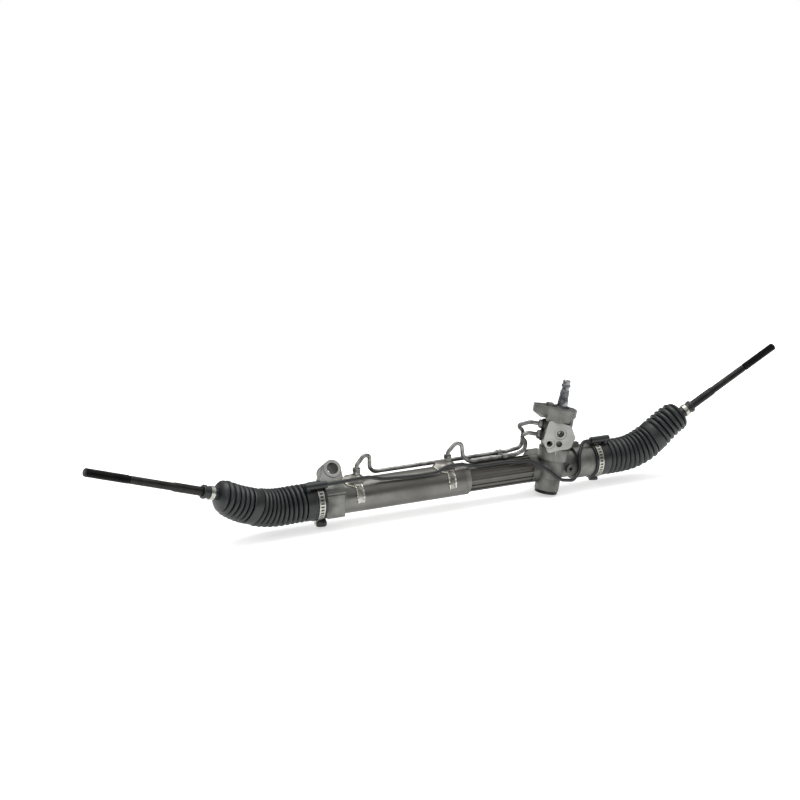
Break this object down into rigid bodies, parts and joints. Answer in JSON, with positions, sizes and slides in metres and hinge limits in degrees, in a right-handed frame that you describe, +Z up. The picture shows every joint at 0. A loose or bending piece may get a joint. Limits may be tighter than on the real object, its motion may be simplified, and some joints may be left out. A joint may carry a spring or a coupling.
{
  "type": "steering rack",
  "caption": "Hydraulic power steering rack: rack bar in an aluminium and steel housing with rotary valve tower, pressure pipes, bellows boots and threaded tie rods.",
  "frame": {"origin": "centre of the mounting eye's bore", "axes": "+X along the rack bar towards the pinion end, +Y to the bulkhead side behind it, +Z up"},
  "size_m": [1.3332, 0.1029, 0.2295],
  "materials": {
    "cast_aluminium": "as cast, dull and stained",
    "tube_steel": "drawn tube, dark and lightly oxidised",
    "pressed_steel": "pressed and brazed",
    "machined_steel": "ground and oiled",
    "rod_steel": "dark phosphate coating",
    "rubber": "matt, dusty",
    "clamp_steel": "stainless strip",
    "pipe_steel": "zinc plated, dulled",
    "bronze": "sintered",
    "white_plastic": "moulded",
    "dark_plastic": "moulded"
  },
  "bodies": {
    "housing": {"left_end_casting": "cast_aluminium", "cylinder_tube": "tube_steel", "left_port_saddle": "pressed_steel", "right_port_saddle": "pressed_steel", "pinion_housing": "cast_aluminium", "valve_housing": "cast_aluminium", "left_rack_bush": "bronze", "left_rack_seal": "rubber", "inner_rack_seal": "rubber", "right_rack_bush": "bronze", "rack_guide": "dark_plastic", "guide_disc_spring": "machined_steel", "guide_plug": "machined_steel", "guide_locknut": "machined_steel", "lower_pinion_cap": "machined_steel", "lower_bearing_outer_race": "machined_steel", "upper_bearing_outer_race": "machined_steel", "input_shaft_seal": "rubber", "shaft_dust_cap": "dark_plastic", "left_boot": "rubber", "right_boot": "rubber", "left_boot_clamp": "clamp_steel", "right_boot_clamp": "clamp_steel", "long_pressure_pipe": "pipe_steel", "short_pressure_pipe": "pipe_steel", "left_port_nut": "pipe_steel", "right_port_nut": "pipe_steel", "upper_union_nut": "pipe_steel", "lower_union_nut": "pipe_steel", "pipe_clip": "pipe_steel", "breather_tube": "rubber", "left_breather_elbow": "rubber", "right_breather_elbow": "rubber"},
    "rack": {"rack_bar": "machined_steel", "piston": "machined_steel", "piston_ring": "white_plastic", "left_ball_socket": "machined_steel", "right_ball_socket": "machined_steel"},
    "pinion": {"pinion_shaft": "machined_steel", "valve_sleeve": "machined_steel", "valve_sleeve_rings": "white_plastic", "lower_bearing_inner_race": "machined_steel", "upper_bearing_inner_race": "machined_steel", "lower_bearing_balls": "machined_steel", "upper_bearing_balls": "machined_steel"},
    "input": {"input_shaft": "machined_steel", "torsion_bar": "machined_steel", "torsion_pin": "machined_steel"},
    "left_seat": {"left_ball_seat": "white_plastic"},
    "left_rod": {"left_tie_rod": "rod_steel", "left_neck_clamp": "clamp_steel"},
    "right_seat": {"right_ball_seat": "white_plastic"},
    "right_rod": {"right_tie_rod": "rod_steel", "right_neck_clamp": "clamp_steel"}
  },
  "joints": [
    {"name": "rack_slide", "type": "slide", "parent": "housing", "child": "rack", "axis": [1, 0, 0], "range_m": [-0.083, 0.061], "deforming": ["left_boot", "right_boot"]},
    {"name": "pinion_turn", "type": "hinge", "parent": "housing", "child": "pinion", "pos_m": [0.4105, -0.04244, -0.04071], "axis": [0.1908, 0, 0.9816], "range_deg": [-440, 600]},
    {"name": "input_twist", "type": "hinge", "parent": "pinion", "child": "input", "pos_m": [0.4105, -0.04244, -0.04071], "axis": [0.1908, 0, 0.9816], "range_deg": [-4, 4], "stiffness_Nm_per_rad": 85},
    {"name": "left_tilt", "type": "hinge", "parent": "rack", "child": "left_seat", "pos_m": [-0.0895, -0.02544, -0.04071], "axis": [-0.0785, 0.9969, 0], "range_deg": [-48, 12]},
    {"name": "left_swing", "type": "hinge", "parent": "left_seat", "child": "left_rod", "pos_m": [-0.0895, -0.02544, -0.04071], "axis": [0.3081, 0.0242, 0.9511], "range_deg": [-14.5, 5.5]},
    {"name": "right_tilt", "type": "hinge", "parent": "rack", "child": "right_seat", "pos_m": [0.5855, -0.02544, -0.04071], "axis": [-0.0785, -0.9969, 0], "range_deg": [-59.5, 0.5]},
    {"name": "right_swing", "type": "hinge", "parent": "right_seat", "child": "right_rod", "pos_m": [0.5855, -0.02544, -0.04071], "axis": [-0.4909, 0.0386, 0.8704], "range_deg": [-5.5, 14.5]}
  ],
  "couplings": [
    {"joint": "pinion_turn", "follows": "rack_slide", "rad_per_m": -122.7}
  ]
}
